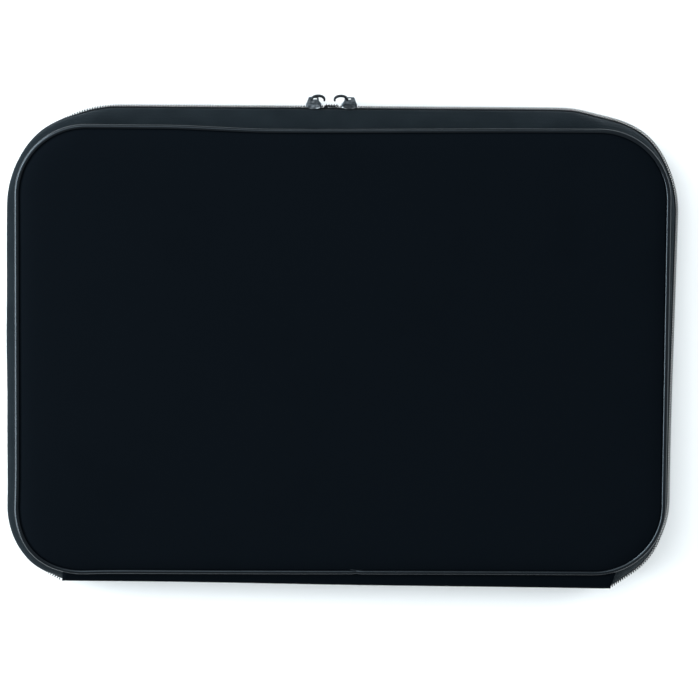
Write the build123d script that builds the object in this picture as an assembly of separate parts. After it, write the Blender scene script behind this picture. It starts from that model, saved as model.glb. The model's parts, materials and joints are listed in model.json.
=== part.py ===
from build123d import *
import os

# A padded laptop sleeve, lying on its back panel. X is its width, +Y points to the zipped top edge and
# Z is its thickness. The origin is the centre of the back panel's flat face. The front half is the back
# half mirrored in the plane where the two rows of zip coil meet.

# Driving dimensions, in millimetres
THICKNESS = 30.0
MIDDLE = THICKNESS / 2
CLEARANCE = 0.4  # between pieces that move apart

# The sewn seam round each panel, measured at the centre of the piping
SEAM_HALF_WIDTH = 187.5
SEAM_HALF_HEIGHT = 130.4
SEAM_RADIUS = 40.0

# The ridge where the coil runs stands out from the seam, most of all along the top
RIDGE_OUT_SIDE = 6.2
RIDGE_OUT_TOP = 11.7
RIDGE_OUT_BOTTOM = 5.8
RIDGE_RADIUS_TOP = 62.0
RIDGE_RADIUS_BOTTOM = 47.0

# The padded panel: face cloth, foam and lining
CLOTH = 1.2
FOAM = 4.0
LINING = 0.6
PANEL_INSET = 2.1

# Piping and the bound seam allowance inside it
PIPING_RADIUS = 1.8
PIPING_CORD_RADIUS = 1.1
PIPING_HEIGHT = 2.6
BINDING_INSET = 2.6
BINDING_THICKNESS = 2.2
BINDING_HEIGHT = 6.5

# The zip
TAPE = 0.8
TAPE_FOOT = 4.6
TAPE_FOOT_INSET = 0.2
TAPE_BEND_BELOW_COIL = 0.3
COIL_GAP = 1.0
COIL_WIDTH = 2.4
COIL_DEPTH = 2.2
COIL_CORD = 1.0
ZIP_END = 158.8

# The spine: a padded strip that joins the two halves along the bottom
SPINE_HALF_LENGTH = ZIP_END - CLEARANCE
SPINE_FOOT = 4.6
SPINE_CLOTH = 0.8
SPINE_FOAM = 1.2
SPINE_LINING = 0.6

# The two zip sliders
SLIDER_LENGTH = 9.0
SLIDER_WIDTH = 8.2
SLIDER_LIFT = 0.3
SLIDER_PLATE = 1.1
SLIDER_CORNER = 1.6
FLANGE = 0.8
POST_LENGTH = 4.4
POST_WIDTH = 0.4
INNER_WING_WIDTH = 5.4
INNER_WING_SETBACK = 1.0  # how much shorter it is at each end
CROWN_HALF_LENGTH = 3.3
CROWN_HEIGHT = 3.7
CROWN_SHEET = 0.7
CROWN_WIDTH = 3.0
CROWN_CORNER = 0.9

# The two pulls: small arched loops on a bar through the crown
PULL_BAR_RADIUS = 0.5
PULL_BAR_LIFT = 3.6
PULL_REACH = 7.6
PULL_DROP = 1.5
PULL_ARCH = 2.1
PULL_SHEET = 0.9
PULL_WIDTH = 5.8
PULL_EYE_WIDTH = 3.8
PULL_RIM = 1.2

# Where each slider stands, the way to the other one, and where the pull's bar lies in its crown
SLIDERS = {"left": (-17.2, 1, -1.1), "right": (3.3, -1, 1.2)}

RIDGE_TOP = SEAM_HALF_HEIGHT + RIDGE_OUT_TOP
RIDGE_BOTTOM = -SEAM_HALF_HEIGHT - RIDGE_OUT_BOTTOM
COIL_HIGH = MIDDLE - COIL_GAP / 2
COIL_LOW = COIL_HIGH - COIL_WIDTH


def rounded(half_width, low, high, radius_low, radius_high):
    """A closed outline with straight sides and round corners, in the XY plane."""
    corners = [(-half_width, low), (half_width, low), (half_width, high), (-half_width, high)]
    radii = [radius_low, radius_low, radius_high, radius_high]
    return FilletPolyline(*corners, radius=radii, close=True)


def seam(inset=0.0):
    """The seam's outline, moved inwards by inset."""
    half_height = SEAM_HALF_HEIGHT - inset
    radius = SEAM_RADIUS - inset
    return rounded(SEAM_HALF_WIDTH - inset, -half_height, half_height, radius, radius)


def ridge(inset=0.0):
    """The ridge's outline, moved inwards by inset."""
    return rounded(
        SEAM_HALF_WIDTH + RIDGE_OUT_SIDE - inset,
        RIDGE_BOTTOM + inset,
        RIDGE_TOP - inset,
        RIDGE_RADIUS_BOTTOM - inset,
        RIDGE_RADIUS_TOP - inset,
    )


def slab(outline, low, high):
    """A flat layer of an outline, from height low to height high."""
    return extrude(Pos(0, 0, low) * make_face(outline), amount=high - low, dir=(0, 0, 1))


def ring(shape, outer, inner, low, high):
    """An upright wall between two insets of an outline, from height low to height high."""
    return slab(shape(outer), low, high) - slab(shape(inner), low, high)


def bar(low, high):
    """A box from its lowest corner to its highest corner."""
    size = [b - a for a, b in zip(low, high)]
    return Pos(*low) * Box(*size, align=(Align.MIN, Align.MIN, Align.MIN))


def spine_gap():
    """A block over the stretch of the bottom edge that the spine takes, where there is no zip."""
    return bar((-ZIP_END, 2 * RIDGE_BOTTOM, 0), (ZIP_END, RIDGE_BOTTOM / 2, THICKNESS))


def piping_tube(outer, inner):
    """A round bead along the seam, hollow where inner isn't zero."""
    path = Pos(0, 0, PIPING_HEIGHT) * seam()
    section = Circle(outer)
    if inner:
        section -= Circle(inner)
    start = Plane(origin=path @ 0, z_dir=path % 0)
    return sweep(start * section, path=path)


def zip_tape():
    """The woven tape: a sloping side wall and a flat edge that carries the coil."""
    outer_inset = COIL_DEPTH
    inner_inset = COIL_DEPTH + TAPE
    bend = COIL_LOW - TAPE_BEND_BELOW_COIL
    walls = []
    for foot_inset, top_inset in ((TAPE_FOOT_INSET, outer_inset), (TAPE_FOOT_INSET + TAPE, inner_inset)):
        foot = Pos(0, 0, TAPE_FOOT) * make_face(seam(foot_inset))
        top = Pos(0, 0, bend) * make_face(ridge(top_inset))
        walls.append(loft([foot, top], ruled=True))
    edge = ring(ridge, outer_inset, inner_inset, bend, COIL_HIGH)
    return walls[0] - walls[1] + edge - spine_gap()


def zip_coil():
    """One row of coil, as a plain strip round its filler cord."""
    strip = ring(ridge, 0, COIL_DEPTH, COIL_LOW, COIL_HIGH) - spine_gap()
    return strip - zip_cord()


def zip_cord():
    """The filler cord inside the coil."""
    inset = (COIL_DEPTH - COIL_CORD) / 2
    low = (COIL_LOW + COIL_HIGH - COIL_CORD) / 2
    return ring(ridge, inset, inset + COIL_CORD, low, low + COIL_CORD) - spine_gap()


def half():
    """Every piece of the back half, by name."""
    foam_low = CLOTH
    lining_low = CLOTH + FOAM
    lining_high = lining_low + LINING
    return {
        "panel_cloth": slab(seam(PANEL_INSET), 0, foam_low),
        "foam": slab(seam(PANEL_INSET), foam_low, lining_low),
        "lining": slab(seam(PANEL_INSET), lining_low, lining_high),
        "piping": piping_tube(PIPING_RADIUS, PIPING_CORD_RADIUS),
        "piping_cord": piping_tube(PIPING_CORD_RADIUS, 0),
        "seam_binding": ring(
            seam,
            BINDING_INSET,
            BINDING_INSET + BINDING_THICKNESS,
            lining_high,
            lining_high + BINDING_HEIGHT,
        ),
        "zip_tape": zip_tape(),
        "zip_coil": zip_coil(),
        "zip_cord": zip_cord(),
    }


def spine():
    """The three layers of the spine, by name, from outside to inside."""
    layers = {}
    y = RIDGE_BOTTOM
    for name, depth in (("cloth", SPINE_CLOTH), ("foam", SPINE_FOAM), ("lining", SPINE_LINING)):
        layers["spine_" + name] = bar(
            (-SPINE_HALF_LENGTH, y, SPINE_FOOT),
            (SPINE_HALF_LENGTH, y + depth, THICKNESS - SPINE_FOOT),
        )
        y += depth
    return layers


def slider_body(x):
    """Outer wing, post and inner wing, with a flange behind the back row of coil."""
    low = RIDGE_TOP + SLIDER_LIFT
    wing = bar(
        (x - SLIDER_LENGTH / 2, low, MIDDLE - SLIDER_WIDTH / 2),
        (x + SLIDER_LENGTH / 2, low + SLIDER_PLATE, MIDDLE + SLIDER_WIDTH / 2),
    )
    wing = fillet(wing.edges().filter_by(Axis.Y), SLIDER_CORNER)
    flange_z = MIDDLE - SLIDER_WIDTH / 2
    flange = bar(
        (x - SLIDER_LENGTH / 2 + SLIDER_CORNER, RIDGE_TOP - COIL_DEPTH + CLEARANCE, flange_z),
        (x + SLIDER_LENGTH / 2 - SLIDER_CORNER, low, flange_z + FLANGE),
    )
    inner_high = RIDGE_TOP - COIL_DEPTH - TAPE - CLEARANCE
    inner_reach = SLIDER_LENGTH / 2 - INNER_WING_SETBACK
    inner = bar(
        (x - inner_reach, inner_high - SLIDER_PLATE, MIDDLE - INNER_WING_WIDTH / 2),
        (x + inner_reach, inner_high, MIDDLE + INNER_WING_WIDTH / 2),
    )
    post = bar(
        (x - POST_LENGTH / 2, inner_high, MIDDLE - POST_WIDTH / 2),
        (x + POST_LENGTH / 2, low, MIDDLE + POST_WIDTH / 2),
    )
    return wing + flange + post + fillet(inner.edges().filter_by(Axis.Y), SLIDER_CORNER)


def slider_crown(x):
    """The bridge on the outer wing, with a window for the pull's bar."""
    low = RIDGE_TOP + SLIDER_LIFT + SLIDER_PLATE
    high = low + CROWN_HEIGHT
    block = bar(
        (x - CROWN_HALF_LENGTH, low, MIDDLE - CROWN_WIDTH / 2),
        (x + CROWN_HALF_LENGTH, high, MIDDLE + CROWN_WIDTH / 2),
    )
    block = fillet(block.edges().filter_by(Axis.Z).group_by(Axis.Y)[-1], CROWN_CORNER)
    window = bar(
        (x - CROWN_HALF_LENGTH + CROWN_SHEET, low, MIDDLE - CROWN_WIDTH),
        (x + CROWN_HALF_LENGTH - CROWN_SHEET, high - CROWN_SHEET, MIDDLE + CROWN_WIDTH),
    )
    return block - window


def pull(x, way):
    """An arched loop whose bar is at x; way is +1 or -1, the side that its tip points to."""
    y = RIDGE_TOP + PULL_BAR_LIFT
    start = (x, y)
    end = (x + way * PULL_REACH, y - PULL_DROP)
    arch = SagittaArc(start, end, PULL_ARCH * way)
    low = MIDDLE - PULL_WIDTH / 2
    sheet = extrude(Pos(0, 0, low) * trace(arch, line_width=PULL_SHEET), amount=PULL_WIDTH, dir=(0, 0, 1))
    eye_from, eye_to = sorted((x - way * PULL_BAR_RADIUS, end[0] - way * PULL_RIM))
    eye = bar(
        (eye_from, y - PULL_REACH, MIDDLE - PULL_EYE_WIDTH / 2),
        (eye_to, y + PULL_REACH, MIDDLE + PULL_EYE_WIDTH / 2),
    )
    rod = Pos(x, y, MIDDLE) * Cylinder(PULL_BAR_RADIUS, PULL_WIDTH)
    return sheet - eye + rod


def pieces():
    """Every piece of the sleeve, by node name."""
    found = {}
    mirror_plane = Plane.XY.offset(MIDDLE)
    for name, shape in half().items():
        found["back_" + name] = shape
        found["front_" + name] = mirror(shape, about=mirror_plane)
    found.update(spine())
    for side, (x, way, bar_offset) in SLIDERS.items():
        found["slider_body_" + side] = slider_body(x)
        found["slider_crown_" + side] = slider_crown(x)
        found["pull_" + side] = pull(x + way * bar_offset, way)
    return found


os.makedirs("parts", exist_ok=True)
for node, shape in pieces().items():
    export_step(shape, f"parts/{node}.step")
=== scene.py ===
import json
import math

import bmesh
import bpy
import numpy as np
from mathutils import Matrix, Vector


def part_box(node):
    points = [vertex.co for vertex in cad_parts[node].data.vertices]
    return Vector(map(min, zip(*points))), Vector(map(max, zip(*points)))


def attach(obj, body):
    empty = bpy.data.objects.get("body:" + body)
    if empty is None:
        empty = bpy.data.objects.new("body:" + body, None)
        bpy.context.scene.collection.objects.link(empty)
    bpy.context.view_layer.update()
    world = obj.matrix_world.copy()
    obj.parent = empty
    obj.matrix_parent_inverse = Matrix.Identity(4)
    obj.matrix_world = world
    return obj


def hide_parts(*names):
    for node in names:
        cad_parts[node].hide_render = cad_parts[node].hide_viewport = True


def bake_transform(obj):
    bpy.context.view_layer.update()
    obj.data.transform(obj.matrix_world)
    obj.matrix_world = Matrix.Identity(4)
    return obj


# The looks of a padded laptop sleeve that lies on its back. X is its width, +Y points to the zipped top
# edge and Z is its thickness. Everything is in metres. The back half is built first and the front half is
# the same work mirrored in the middle plane, where the two rows of zip coil meet.

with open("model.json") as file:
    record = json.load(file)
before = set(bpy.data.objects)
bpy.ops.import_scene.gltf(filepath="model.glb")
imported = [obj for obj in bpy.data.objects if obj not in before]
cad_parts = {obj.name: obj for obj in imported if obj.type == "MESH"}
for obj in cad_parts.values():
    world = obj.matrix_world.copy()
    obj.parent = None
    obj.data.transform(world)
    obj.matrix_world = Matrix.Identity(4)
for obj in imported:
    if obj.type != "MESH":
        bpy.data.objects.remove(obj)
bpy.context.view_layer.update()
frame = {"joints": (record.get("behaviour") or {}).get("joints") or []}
MM = 0.001

# Places read from the CAD frame
PIPING_LOW, PIPING_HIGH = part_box("back_piping")
PIPING_RADIUS = (PIPING_HIGH.z - PIPING_LOW.z) / 2
PIPING_Z = (PIPING_HIGH.z + PIPING_LOW.z) / 2
SEAM_X = PIPING_HIGH.x - PIPING_RADIUS
SEAM_Y = PIPING_HIGH.y - PIPING_RADIUS
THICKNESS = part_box("front_panel_cloth")[1].z
MIDDLE = THICKNESS / 2
COIL_BOX_LOW, COIL_BOX_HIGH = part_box("back_zip_coil")
RIDGE_X = COIL_BOX_HIGH.x
RIDGE_TOP = COIL_BOX_HIGH.y
SPINE_LOW, SPINE_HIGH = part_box("spine_cloth")
RIDGE_BOTTOM = SPINE_LOW.y
SPINE_END = SPINE_HIGH.x + 2.0 * MM  # the folded end runs on past the plain strip of the CAD
LINING_LOW, LINING_HIGH = (corner.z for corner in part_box("back_lining"))
FOAM_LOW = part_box("back_foam")[0].z

# Corner radii of the piped seam and of the ridge that carries the zip, along X and along Y
SEAM_RADIUS = 40 * MM
RIDGE_TOP_CORNER = (65 * MM, 61 * MM)
RIDGE_BOTTOM_CORNER = (41 * MM, 44 * MM)

# How the soft parts settle
SEAM_DIP = 1.8 * MM  # the top seam sags between its corners, most on the left
SEAM_LIFT = (0.7 * MM, 1.9 * MM)  # how much the bottom seam rises at the left and at the right
LEFT_CORNER_PUSH = 1.9 * MM  # the lower left corner of the panels is pushed out
SLUMP = 2.4 * MM  # the spine hangs lower towards the right
ZIP_END_DROP = 2.2 * MM  # the zip's ends are pulled down to the corners of the spine
SPINE_SHIFT = 1.4 * MM  # the spine is pulled a little to the left
LEFT_BULGE = 2.9 * MM  # the wall bulges out over the coil at the left
RIGHT_LEAN = 2.2 * MM  # the ridge leans in at the lower right
EDGE_ZONE = (0.301, 1.001)  # the shares of half the height over which an edge gives way
LOWER_LEFT = (-176 * MM, -119 * MM)  # the corner that LEFT_CORNER_PUSH acts on
LOWER_LEFT_REACH = 26 * MM
UPPER_RIGHT = (173 * MM, 122 * MM)  # this corner of the ridge stands out
UPPER_RIGHT_REACH = 20 * MM
UPPER_RIGHT_PUSH = (1.5 * MM, 1.3 * MM)
RIGHT_END_TUCK = (1.7 * MM, -1.3 * MM)  # the lower right of the ridge is drawn in and up
HIGH_DIP = 1.5 * MM  # a small dip in the top edge
HIGH_DIP_X = 146 * MM
HIGH_DIP_REACH = 13 * MM
ZIP_END_REACH = 9 * MM  # how far past the spine the zip's ends are still pulled down
CROWN = 0.5 * MM  # the front panel is a little higher in its middle
ROLL_DEPTH = 2.5 * MM  # how far the panel's edge rolls down to the seam
ROLL_REACH = 5.2 * MM

# The zip
COIL_PITCH = 1.5 * MM
COIL_WIRE = 0.27 * MM
COIL_HALF_WIDTH = 1.95 * MM
COIL_HALF_DEPTH = 1.1 * MM
BACK_COIL_SET_IN = 1.8 * MM  # the back row sits this much deeper
COIL_DEPTH = 2.2 * MM
COIL_CENTRE = MIDDLE - 1.3 * MM
OPEN_LIFT = {"back": 2.4 * MM, "front": 0.2 * MM}  # how far each row stands out where the zip is open
OPEN_GAP = 1.15 * MM  # the open stretch starts this far from a slider
OPEN_RAMP = 1.3 * MM  # the length over which it opens
TAPE_OPEN_SHARE = 0.2  # how far the tape's edge follows
COIL_STEPS = 14  # points to a turn of coil
TAPE_BEND = COIL_BOX_LOW.z - 0.3 * MM
TAPE_THICKNESS = 0.5 * MM
WALL_FOOT = 4.5 * MM  # the height at which the tape is sewn in beside the piping


# ---------------------------------------------------------------- outlines

class Outline:
    """A rectangle with round corners, in nine stretches, counter-clockwise from the middle of its bottom."""

    def __init__(self, half_width, low, high, corner_low, corner_high):
        self.sizes = (half_width, low, high, corner_low, corner_high)
        w, (bx, by), (tx, ty) = half_width, corner_low, corner_high
        self.lines = {
            0: ((0, low), (w - bx, low)),
            2: ((w, low + by), (w, high - ty)),
            4: ((w - tx, high), (tx - w, high)),
            6: ((-w, high - ty), (-w, low + by)),
            8: ((bx - w, low), (0, low)),
        }
        self.arcs = {
            1: ((w - bx, low + by), corner_low, -90),
            3: ((w - tx, high - ty), corner_high, 0),
            5: ((tx - w, high - ty), corner_high, 90),
            7: ((bx - w, low + by), corner_low, 180),
        }
        self.edges = np.concatenate([[0], np.cumsum(self.lengths())])

    def inset(self, distance):
        """The same outline, moved inwards."""
        w, low, high, corner_low, corner_high = self.sizes
        smaller = [tuple(r - distance for r in corner) for corner in (corner_low, corner_high)]
        return Outline(w - distance, low + distance, high - distance, *smaller)

    def lengths(self):
        """The length of each stretch."""
        found = {k: math.dist(*ends) for k, ends in self.lines.items()}
        found.update({k: sum(corner) * math.pi / 4 for k, (_, corner, _) in self.arcs.items()})
        return [found[k] for k in range(9)]

    def station(self, distance):
        """The stretch at a distance along the outline, and the share of its length."""
        stretch = min(8, int(np.searchsorted(self.edges, distance, side="right")) - 1)
        start, end = self.edges[stretch : stretch + 2]
        return stretch, float((distance - start) / (end - start))

    def at(self, stations):
        """Points and outward normals at stations, which are pairs of a stretch and a share of its length."""
        points = np.zeros((len(stations), 2))
        normals = np.zeros((len(stations), 2))
        for i, (stretch, share) in enumerate(stations):
            if stretch in self.lines:
                a, b = np.array(self.lines[stretch])
                points[i] = a + (b - a) * share
                along = (b - a) / np.linalg.norm(b - a)
                normals[i] = along[1], -along[0]
            else:
                centre, (rx, ry), start = self.arcs[stretch]
                angle = math.radians(start + 90 * share)
                points[i] = centre[0] + rx * math.cos(angle), centre[1] + ry * math.sin(angle)
                normal = np.array((math.cos(angle) / rx, math.sin(angle) / ry))
                normals[i] = normal / np.linalg.norm(normal)
        return points, normals


SEAM = Outline(SEAM_X, -SEAM_Y, SEAM_Y, (SEAM_RADIUS,) * 2, (SEAM_RADIUS,) * 2)
RIDGE = Outline(RIDGE_X, RIDGE_BOTTOM, RIDGE_TOP, RIDGE_BOTTOM_CORNER, RIDGE_TOP_CORNER)


def stations_along(outline, start, end, step):
    """Evenly spaced stations from one distance along the outline to another."""
    total = outline.edges[-1]
    count = max(2, int(round((end - start) / step)) + 1)
    distances = np.linspace(start, end, count)
    return [outline.station(d % total if d < 0 or d > total else d) for d in distances]


def zip_span():
    """The distances along the ridge at which the zip starts and ends, on either side of the spine."""
    total = sum(RIDGE.lengths())
    radius = RIDGE_BOTTOM_CORNER[0]
    turn = math.asin((SPINE_END - (RIDGE_X - radius)) / radius)
    start = RIDGE.lengths()[0] + turn / (math.pi / 2) * RIDGE.lengths()[1]
    return start, total - start


def ease(value):
    """Goes smoothly from 0 to 1 as value does."""
    value = np.clip(value, 0, 1)
    return value * value * (3 - 2 * value)


def ramp(value, start, end):
    """Goes smoothly from 0 to 1 as value goes from start to end."""
    return ease((value - start) / (end - start))


def near(points, place, reach):
    """1 at a place, fading to 0 round it."""
    return np.exp(-((np.linalg.norm(points - np.array(place), axis=1) / reach) ** 2))[:, None]


def settle(points):
    """Moves points of the panels and the seams to where the soft edge sags."""
    moved = points.copy()
    x, y = points[:, 0], points[:, 1]
    across, upward = x / SEAM_X, y / SEAM_Y
    dip = ramp(x, -105 * MM, -40 * MM) * (1 - 0.75 * ramp(x, -40 * MM, 130 * MM))
    moved[:, 1] -= SEAM_DIP * dip * ramp(upward, *EDGE_ZONE)
    lift = SEAM_LIFT[0] + (SEAM_LIFT[1] - SEAM_LIFT[0]) * ramp(across, -0.8, 0.8)
    moved[:, 1] += lift * ramp(-upward, *EDGE_ZONE)
    return moved - near(points, LOWER_LEFT, LOWER_LEFT_REACH) * LEFT_CORNER_PUSH


def slump(points):
    """Moves points of the zip and the spine to where the bottom edge hangs."""
    moved = points.copy()
    x, y = points[:, 0], points[:, 1]
    across, upward = x / SEAM_X, y / SEAM_Y
    low, high = ramp(-upward, 0.5, 1.0), ramp(upward, 0.5, 1.0)
    moved[:, 1] -= SLUMP * ramp(across, -1.1, 1.1) * low
    moved[:, 0] -= RIGHT_LEAN * ramp(across, 0.6, 1.0) * ramp(-upward, -0.868, 0.532)
    moved[:, 0] -= SPINE_SHIFT * low * (1 - ramp(np.abs(x), SPINE_END, SPINE_END + 25 * MM))
    right_end = ramp(x, 156 * MM, 174 * MM) * ramp(-y, 85 * MM, 110 * MM)
    moved -= right_end[:, None] * np.array(RIGHT_END_TUCK)
    moved[:, 1] -= HIGH_DIP * high * np.exp(-((x - HIGH_DIP_X) / HIGH_DIP_REACH) ** 2)
    moved += near(points, UPPER_RIGHT, UPPER_RIGHT_REACH) * np.array(UPPER_RIGHT_PUSH)
    past_spine = np.abs(x) - SPINE_END
    beyond = past_spine > -0.6 * MM
    moved[:, 1] -= ZIP_END_DROP * low * np.exp(-np.maximum(past_spine, 0) / ZIP_END_REACH) * beyond
    return moved


def ripple(x, y, seed):
    """A smooth uneven height between about -1 and 1, the same on each run."""
    total = np.zeros_like(x)
    rng = np.random.default_rng(seed)
    for length in (190, 120, 83, 57, 41):
        angle, phase = rng.uniform(0, 2 * math.pi, 2)
        along = (x * math.cos(angle) + y * math.sin(angle)) / (length * MM)
        total += np.sin(2 * math.pi * along + phase) * (length / 190) ** 0.8
    return total / 2.6


# ---------------------------------------------------------------- meshes

def new_piece(name, verts, faces, smooth=True):
    """A mesh object from points and faces."""
    mesh = bpy.data.meshes.new(name)
    mesh.from_pydata([tuple(v) for v in verts], [], [tuple(int(i) for i in f) for f in faces])
    mesh.validate()
    piece = bpy.data.objects.new(name, mesh)
    bpy.context.collection.objects.link(piece)
    if smooth:
        mesh.shade_smooth()
    return piece


def grid_faces(rows, columns, closed_rows=False, closed_columns=False):
    """Quads over a grid of rows x columns points."""
    faces = []
    for i in range(rows if closed_rows else rows - 1):
        for j in range(columns if closed_columns else columns - 1):
            a = i * columns + j
            b = i * columns + (j + 1) % columns
            c = ((i + 1) % rows) * columns + (j + 1) % columns
            d = ((i + 1) % rows) * columns + j
            faces.append((a, b, c, d))
    return faces


def flip_to_front(verts, faces):
    """Mirrors a back-half mesh in the middle plane."""
    verts = np.array(verts, float)
    verts[:, 2] = THICKNESS - verts[:, 2]
    return verts, [tuple(reversed(f)) for f in faces]


def half_piece(name, side, verts, faces):
    """A piece of one half, mirrored into place for the front half."""
    if side == "front":
        verts, faces = flip_to_front(verts, faces)
    return new_piece(f"{side}_{name}", verts, faces)


def at_height(flat, height):
    """Flat points or directions, given a height."""
    return np.column_stack([flat, np.broadcast_to(height, len(flat))])


def finish_piece(piece, material, body=None, nodes=()):
    """Gives a piece its material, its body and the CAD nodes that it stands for."""
    piece.data.materials.clear()
    piece.data.materials.append(material)
    if body:
        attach(piece, body)
    if nodes:
        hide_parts(*nodes)
    return piece


def finish_half(piece, side, material, node):
    """Finishes a piece of one half, which stands for one of its nodes."""
    return finish_piece(piece, material, f"{side}_half", [f"{side}_{node}"])


def face_along(piece, axis, positive):
    """Makes the faces look along an axis, or against it."""
    mesh = piece.data
    total = sum(p.normal[axis] * p.area for p in mesh.polygons)
    if (total > 0) != positive:
        mesh.flip_normals()


def weld(piece, distance=1e-6):
    """Merges points that coincide and drops faces with no area."""
    mesh = bmesh.new()
    mesh.from_mesh(piece.data)
    bmesh.ops.remove_doubles(mesh, verts=mesh.verts, dist=distance)
    bmesh.ops.dissolve_degenerate(mesh, edges=mesh.edges, dist=distance)
    bmesh.ops.recalc_face_normals(mesh, faces=mesh.faces)
    mesh.to_mesh(piece.data)
    mesh.free()
    return piece


def thicken(piece, thickness, offset=-1.0):
    """Turns a surface into a closed sheet."""
    made = piece.modifiers.new("thickness", "SOLIDIFY")
    made.thickness = thickness
    made.offset = offset
    made.use_even_offset = True
    return piece


def store(piece, name, values):
    """A number for each point, which the materials read."""
    attribute = piece.data.attributes.new(name, "FLOAT", "POINT")
    attribute.data.foreach_set("value", np.asarray(values, np.float32))


def tube(points, across, up, radius, sides=12, closed=False):
    """Points and faces of a round tube. across and up are its two section axes at each point."""
    angles = np.linspace(0, 2 * math.pi, sides, endpoint=False)
    radius = np.broadcast_to(np.asarray(radius, float), (len(points),))
    rings = (
        points[:, None, :]
        + radius[:, None, None] * np.cos(angles)[None, :, None] * across[:, None, :]
        + radius[:, None, None] * np.sin(angles)[None, :, None] * up[:, None, :]
    )
    faces = grid_faces(len(points), sides, closed_rows=closed, closed_columns=True)
    if not closed:
        last = (len(points) - 1) * sides
        faces.append(tuple(reversed(range(sides))))
        faces.append(tuple(range(last, last + sides)))
    return rings.reshape(-1, 3), faces


# ---------------------------------------------------------------- materials

class Look:
    """A node material, with short names for the steps that feed its shader."""

    def __init__(self, name, color, roughness, specular=0.5, metallic=0.0):
        self.material = bpy.data.materials.new(name)
        self.material.use_nodes = True
        self.tree = self.material.node_tree
        self.shader = self.tree.nodes["Principled BSDF"].inputs
        self.shader["Base Color"].default_value = (*color, 1)
        self.shader["Roughness"].default_value = roughness
        self.shader["Specular IOR Level"].default_value = specular
        self.shader["Metallic"].default_value = metallic
        self.shader["Specular Tint"].default_value = (0.72, 0.88, 1.0, 1)

    def node(self, kind, **inputs):
        """A new node, whose inputs are given as numbers or as other nodes' outputs."""
        made = self.tree.nodes.new(f"ShaderNode{kind}")
        for name, value in inputs.items():
            self.feed(made.inputs[name], value)
        return made

    def feed(self, socket, value):
        """Gives a socket a number or another node's output."""
        if isinstance(value, (int, float)):
            socket.default_value = value
        else:
            self.tree.links.new(value, socket)

    def stored(self, name):
        """A number stored on the piece's points."""
        made = self.node("Attribute")
        made.attribute_name = name
        return made.outputs["Fac"]

    def place(self, bends=False):
        """The place on the piece in metres. A piece that bends has it stored on its points."""
        if bends:
            return self.node("CombineXYZ", X=self.stored("along"), Y=self.stored("across")).outputs[0]
        return self.node("TexCoord").outputs["Object"]

    def noise(self, place, size, detail=2.0, roughness=0.5):
        """Noise whose features are about size metres."""
        made = self.node("TexNoise", Vector=place, Scale=1 / size, Detail=detail, Roughness=roughness)
        return made.outputs["Fac"]

    def math(self, operation, *values):
        """One arithmetic step."""
        made = self.node("Math")
        made.operation = operation
        for socket, value in zip(made.inputs, values):
            self.feed(socket, value)
        return made.outputs[0]

    def add(self, first, second):
        return self.math("ADD", first, second)

    def times(self, value, factor):
        return self.math("MULTIPLY", value, factor)

    def plus_half(self, value, factor):
        """value times factor, plus a half."""
        return self.math("MULTIPLY_ADD", value, factor, 0.5)

    def weave(self, first, second, pitch):
        """A plain weave from two crossing rows of threads, as a height from 0 to 1."""
        waves = [self.math("SINE", self.times(value, 2 * math.pi / pitch)) for value in (first, second)]
        return self.plus_half(self.times(*waves), 0.5)

    def between(self, socket, factor, dark, light, low=0.3, high=0.7):
        """Gives a shader socket a colour from dark to light as factor goes from low to high."""
        made = self.node("ValToRGB", Fac=factor)
        for element, position, color in zip(made.color_ramp.elements, (low, high), (dark, light)):
            element.position = position
            element.color = (*color, 1)
        self.feed(self.shader[socket], made.outputs["Color"])

    def rough_between(self, factor, first, second):
        """Gives the shader a roughness between two values."""
        self.between("Roughness", factor, (first,) * 3, (second,) * 3)

    def bump(self, height, strength, distance):
        """Feeds a height to the shader's normal."""
        made = self.node("Bump", Strength=strength, Distance=distance, Height=height)
        self.feed(self.shader["Normal"], made.outputs["Normal"])

    def sheen(self, weight, roughness):
        """The pale bloom of fibres seen at a low angle."""
        self.shader["Sheen Weight"].default_value = weight
        self.shader["Sheen Roughness"].default_value = roughness


def knit_cloth(name, dark, light, bends=False):
    """Smooth matt knitted face cloth: fine loops in rows, with faint cloudiness."""
    look = Look(name, dark, 0.85, specular=0.02)
    place = look.place(bends)
    split = look.node("SeparateXYZ", Vector=place).outputs
    loops = look.weave(split["X"], split["Y"], 0.9 * MM)
    fibre = look.noise(place, 0.35 * MM, detail=3)
    cloud = look.noise(place, 45 * MM, detail=3)
    tone = look.add(look.times(cloud, 0.6), look.plus_half(fibre, 0.5))
    look.between("Base Color", tone, dark, light, 0.35, 1.0)
    look.bump(look.add(loops, look.plus_half(fibre, 0.35)), 0.35, 0.12 * MM)
    return look.material


def woven_tape(name, dark, light, sheen):
    """Woven zip tape: a fine herringbone that follows the tape."""
    look = Look(name, dark, 0.8, specular=0.07)
    across = look.stored("across")
    slanted = look.add(look.stored("along"), look.math("PINGPONG", across, 1.6 * MM))
    threads = look.weave(slanted, across, 0.62 * MM)
    fibre = look.noise(look.place(), 0.3 * MM, detail=3)
    cloud = look.noise(look.place(), 14 * MM, detail=3)
    tone = look.add(look.times(threads, 0.35), look.times(cloud, 0.8))
    look.between("Base Color", tone, dark, light, 0.25, 0.85)
    look.bump(look.add(threads, look.times(fibre, 0.4)), 0.6, 0.16 * MM)
    look.sheen(sheen, 0.4)
    look.shader["Sheen Tint"].default_value = (0.8, 0.92, 1.0, 1)
    return look.material


def satin_piping():
    """Coated piping: satin, with a crisp highlight and a very fine grain."""
    look = Look("piping", (0.0006, 0.0012, 0.0020), 0.24, specular=0.42)
    look.rough_between(look.noise(look.place(), 22 * MM), 0.20, 0.28)
    look.bump(look.noise(look.place(), 0.5 * MM, detail=3), 0.15, 0.05 * MM)
    return look.material


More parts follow.
